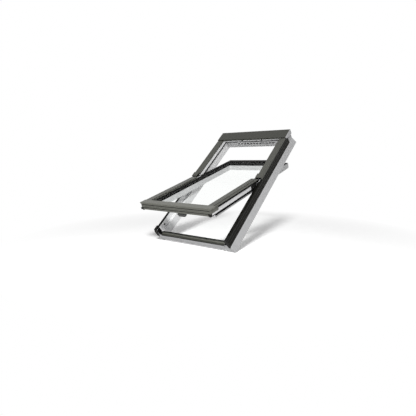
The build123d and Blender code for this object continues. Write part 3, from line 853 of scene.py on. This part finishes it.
# %% Cover screws
HEAD = (3.0 * MM, 3.0 * MM, 1.3 * MM)
SCREW_STEP = 105 * MM
SCREW_EDGE = 6 * MM
UPPER_SCREWS = 4
UPPER_START = 85 * MM
UPPER_FACE = 14.1 * MM
HOOD_SCREWS = 5
HOOD_END = 30 * MM
HOOD_EDGE = 14 * MM
HOOD_SINK = 0.4 * MM
SASH_SCREWS = 5
SASH_START = 60 * MM
SASH_SINK = 3.4 * MM
hood_low, hood_high = window_box("hood", FRAME_AXES)
upper_low, upper_high = window_box("right_upper_cover", FRAME_AXES)
screw_x = upper_high.x - SCREW_EDGE
cover_out = FRONT + UPPER_FACE
screw_rows = [((side * screw_x, upper_low.y + UPPER_START, cover_out),
               (0, SCREW_STEP, 0), UPPER_SCREWS, HEAD) for side in (-1, 1)]
hood_step = (hood_high.x - hood_low.x - 2 * HOOD_END) / (HOOD_SCREWS - 1)
screw_rows.append(((hood_low.x + HOOD_END, hood_high.y - HOOD_EDGE, hood_high.z - HOOD_SINK),
                   (hood_step, 0, 0), HOOD_SCREWS, HEAD))
rows_piece("frame_cover_screws", "heads", screw_rows, FRAME_AXES, "frame", blacks["frame"])
sash_screw_x = side_high.x - SCREW_EDGE
sash_rows = [((side * sash_screw_x, side_low.y + SASH_START, side_high.z - SASH_SINK),
              (0, SCREW_STEP, 0), SASH_SCREWS, HEAD) for side in (-1, 1)]
rows_piece("sash_cover_screws", "heads", sash_rows, SASH_AXES, "sash", blacks["sash"])

# %% [markdown]
# Air comes in through a row of slots in the head, which read as a row of dashes. Each
# slot is narrowed by two small white shoulders and edged with a dark lip above and
# below. The plug of dark filter foam that closes it is a guess.

# %% Air slots
SLOT_COUNT = 12
SLOT_PITCH = 31 * MM
SLOT_HALF = 12 * MM
SLOT_HEIGHT = 6 * MM
SHOULDER = 2 * MM
EDGE = 1.6 * MM
SLOT_IN = 1.2 * MM
SHOULDER_DEPTH = 2.2 * MM
FOAM_DEPTH = 1.2 * MM
LIP_DROP = 0.35 * MM
LIP_DEPTH = 0.6 * MM
slot_out = (grille_low.z + grille_high.z) / 2
first = -(SLOT_COUNT - 1) / 2 * SLOT_PITCH
inside = SLOT_HALF - SHOULDER
slot_up = grille_low.y + SLOT_IN
slot_step = (SLOT_PITCH, 0, 0)
shoulder_rows = [((first + side * (inside + SHOULDER / 2), slot_up, slot_out),
                  slot_step, SLOT_COUNT, (SHOULDER, SHOULDER_DEPTH, SLOT_HEIGHT - 0.1 * MM))
                 for side in (-1, 1)]
rows_piece("air_slot_shoulders", "blocks", shoulder_rows, FRAME_AXES, "frame",
           white["frame"])
foam_rows = [((first, slot_up, slot_out), slot_step, SLOT_COUNT,
              (2 * inside - 0.2 * MM, FOAM_DEPTH, SLOT_HEIGHT - 0.2 * MM))]
rows_piece("air_slot_foam", "blocks", foam_rows, FRAME_AXES, "frame", rubbers["frame"])
lip_rows = [((first, grille_low.y - LIP_DROP, slot_out + side * (SLOT_HEIGHT + EDGE) / 2),
             slot_step, SLOT_COUNT, (2 * inside, LIP_DEPTH, EDGE)) for side in (-1, 1)]
rows_piece("air_slot_lips", "blocks", lip_rows, FRAME_AXES, "frame", plastics["frame"])

# %% [markdown]
# The round fixing holes low in the side members are closed with flat domed plugs. The
# plugs are a guess.

# %% Plugs of the fixing holes
BUSH_UP = 70 * MM
BUSH_OUT = 85 * MM
PLUG_DOME = (0.5 * MM, 9 * MM, 9 * MM)
PLUG_SINK = 0.05 * MM
plug_rows = [((side * (REBATE_WALL - PLUG_SINK), BUSH_UP, BUSH_OUT), (0, 1, 0), 1, PLUG_DOME)
             for side in (-1, 1)]
rows_piece("fixing_hole_plugs", "heads", plug_rows, FRAME_AXES, "frame", greys["frame"])

# %% [markdown]
# The photograph doesn't show the spacer between the panes. Such a spacer is filled
# with a drying agent, and its inner face is pierced with fine holes. Small flat dots
# of bare steel stand for them, in four rows.

# %% Holes in the spacer
spacer_low, spacer_high = window_box("pane_spacer", SASH_AXES)
SPACER_WIDTH = 8 * MM
DOT = 0.5 * MM
DOT_RISE = 0.15 * MM
DOT_STEP = 12 * MM
gap_middle = (spacer_low.z + spacer_high.z) / 2
inner_x = spacer_high.x - SPACER_WIDTH
inner_low = spacer_low.y + SPACER_WIDTH
inner_high = spacer_high.y - SPACER_WIDTH
along = int((inner_high - inner_low) / DOT_STEP)
over = int(2 * inner_x / DOT_STEP)
dot_rows = []
for side in (-1, 1):
    dot_rows.append(((side * inner_x, inner_low + DOT_STEP / 2, gap_middle), (0, DOT_STEP, 0),
                     along, (DOT_RISE, DOT, DOT)))
for edge in (inner_low, inner_high):
    dot_rows.append(((-inner_x + DOT_STEP / 2, edge, gap_middle), (DOT_STEP, 0, 0),
                     over, (DOT, DOT_RISE, DOT)))
rows_piece("spacer_holes", "heads", dot_rows, SASH_AXES, "sash", steels["sash"])

# %% [markdown]
# The floor is a large pale sheet under the lowest corner of the window. Seen by
# the camera, by reflections and through the glass it is plain white, as in a
# studio cut-out, but it still takes the window's shadow. So the floor stays a matt
# surface, and only where it is looked at does it have a brighter colour: the bare
# floor then comes out white, and the light that it throws back on the window stays
# plain. Far from the window it turns into plain white, so no horizon shows.

# %% Floor and background
FLOOR_SIZE = 60.0
FLOOR_SEEN = 1.34
FLOOR_NEAR = 1.0
FLOOR_FAR = 1.7
FLOOR_PALE = 0.93
FLOOR_MIDDLE = (0, 0.4)
FLOOR_GAP = 0.002


def seen_share(tree):
    """1 where the camera, a reflection or the glass looks, and 0 for the light itself."""
    path = tree.nodes.new("ShaderNodeLightPath")
    direct = tree.nodes.new("ShaderNodeMath")
    direct.operation = "MAXIMUM"
    tree.links.new(path.outputs["Is Camera Ray"], direct.inputs[0])
    tree.links.new(path.outputs["Is Transmission Ray"], direct.inputs[1])
    every = tree.nodes.new("ShaderNodeMath")
    every.operation = "MAXIMUM"
    tree.links.new(direct.outputs["Value"], every.inputs[0])
    tree.links.new(path.outputs["Is Glossy Ray"], every.inputs[1])
    return every.outputs["Value"]


def add_floor(height):
    """A big flat sheet with a plain pale colour."""
    mesh = bpy.data.meshes.new("floor")
    half = FLOOR_SIZE / 2
    corners = [(-half, -half, height), (half, -half, height),
               (half, half, height), (-half, half, height)]
    mesh.from_pydata(corners, [], [(0, 1, 2, 3)])
    floor = bpy.data.objects.new("floor", mesh)
    bpy.context.scene.collection.objects.link(floor)
    material = bpy.data.materials.new("floor_white")
    material.use_nodes = True
    tree = material.node_tree
    tree.nodes.clear()
    matt = tree.nodes.new("ShaderNodeBsdfDiffuse")
    glow = tree.nodes.new("ShaderNodeEmission")
    seen = seen_share(tree)
    tone = tree.nodes.new("ShaderNodeMapRange")
    tone.inputs["To Min"].default_value = FLOOR_PALE
    tone.inputs["To Max"].default_value = FLOOR_SEEN
    far = tree.nodes.new("ShaderNodeMath")
    far.operation = "MULTIPLY"
    place = tree.nodes.new("ShaderNodeTexCoord")
    reach = tree.nodes.new("ShaderNodeVectorMath")
    reach.operation = "DISTANCE"
    reach.inputs[1].default_value = (*FLOOR_MIDDLE, height)
    fade = tree.nodes.new("ShaderNodeMapRange")
    fade.inputs["From Min"].default_value = FLOOR_NEAR
    fade.inputs["From Max"].default_value = FLOOR_FAR
    mix = tree.nodes.new("ShaderNodeMixShader")
    output = tree.nodes.new("ShaderNodeOutputMaterial")
    tree.links.new(place.outputs["Object"], reach.inputs[0])
    tree.links.new(reach.outputs["Value"], fade.inputs["Value"])
    tree.links.new(seen, tone.inputs["Value"])
    tree.links.new(tone.outputs["Result"], matt.inputs["Color"])
    tree.links.new(fade.outputs["Result"], far.inputs[0])
    tree.links.new(seen, far.inputs[1])
    tree.links.new(far.outputs["Value"], mix.inputs["Fac"])
    tree.links.new(matt.outputs["BSDF"], mix.inputs[1])
    tree.links.new(glow.outputs["Emission"], mix.inputs[2])
    tree.links.new(mix.outputs["Shader"], output.inputs["Surface"])
    mesh.materials.append(material)


add_floor(size_before[0][2] - FLOOR_GAP)

# %% [markdown]
# The studio is an even pale world with one large soft lamp, high in front of the
# window: in the photograph the end face of the sash is the brightest metal, and the
# shadow lies behind. A second, weak lamp stands low behind the window, so that its
# back isn't left in the dark. A colour should come out about as it is written, so
# both stay modest. What the camera and the glass see of the world is plain white.

# %% Light
WORLD_LEVEL = 0.23
MIDDLE = (0.0, 0.4, 0.4)
KEY_PLACE = (1.7, -2.7, 2.6)
KEY_SIZE = 0.7
KEY_WATTS = 155
BACK_PLACE = (-1.6, 3.4, 1.6)
BACK_SIZE = 2.0
BACK_WATTS = 30


def add_world():
    world = bpy.data.worlds.new("studio")
    bpy.context.scene.world = world
    world.use_nodes = True
    tree = world.node_tree
    tree.nodes.clear()
    output = tree.nodes.new("ShaderNodeOutputWorld")
    mix = tree.nodes.new("ShaderNodeMixShader")
    light = tree.nodes.new("ShaderNodeBackground")
    light.inputs["Color"].default_value = (1, 1, 1, 1)
    light.inputs["Strength"].default_value = WORLD_LEVEL
    seen = tree.nodes.new("ShaderNodeBackground")
    seen.inputs["Color"].default_value = (1, 1, 1, 1)
    seen.inputs["Strength"].default_value = 1.0
    tree.links.new(seen_share(tree), mix.inputs["Fac"])
    tree.links.new(light.outputs["Background"], mix.inputs[1])
    tree.links.new(seen.outputs["Background"], mix.inputs[2])
    tree.links.new(mix.outputs["Shader"], output.inputs["Surface"])


def add_lamp(name, place, target, size, power, mirrored=True):
    """A square area lamp that faces a point."""
    data = bpy.data.lights.new(name, "AREA")
    data.size = size
    data.energy = power
    lamp = bpy.data.objects.new(name, data)
    lamp.location = place
    direction = Vector(target) - Vector(place)
    lamp.rotation_euler = direction.to_track_quat("-Z", "Y").to_euler()
    lamp.visible_glossy = mirrored
    bpy.context.scene.collection.objects.link(lamp)


add_world()
add_lamp("key_lamp", KEY_PLACE, MIDDLE, KEY_SIZE, KEY_WATTS)
add_lamp("back_lamp", BACK_PLACE, MIDDLE, BACK_SIZE, BACK_WATTS, mirrored=False)

# %% [markdown]
# Last come the picture's settings. The Standard view shows colours as they are
# written.

# %% Finish
bpy.context.scene.view_settings.view_transform = "Standard"
bpy.context.view_layer.update()
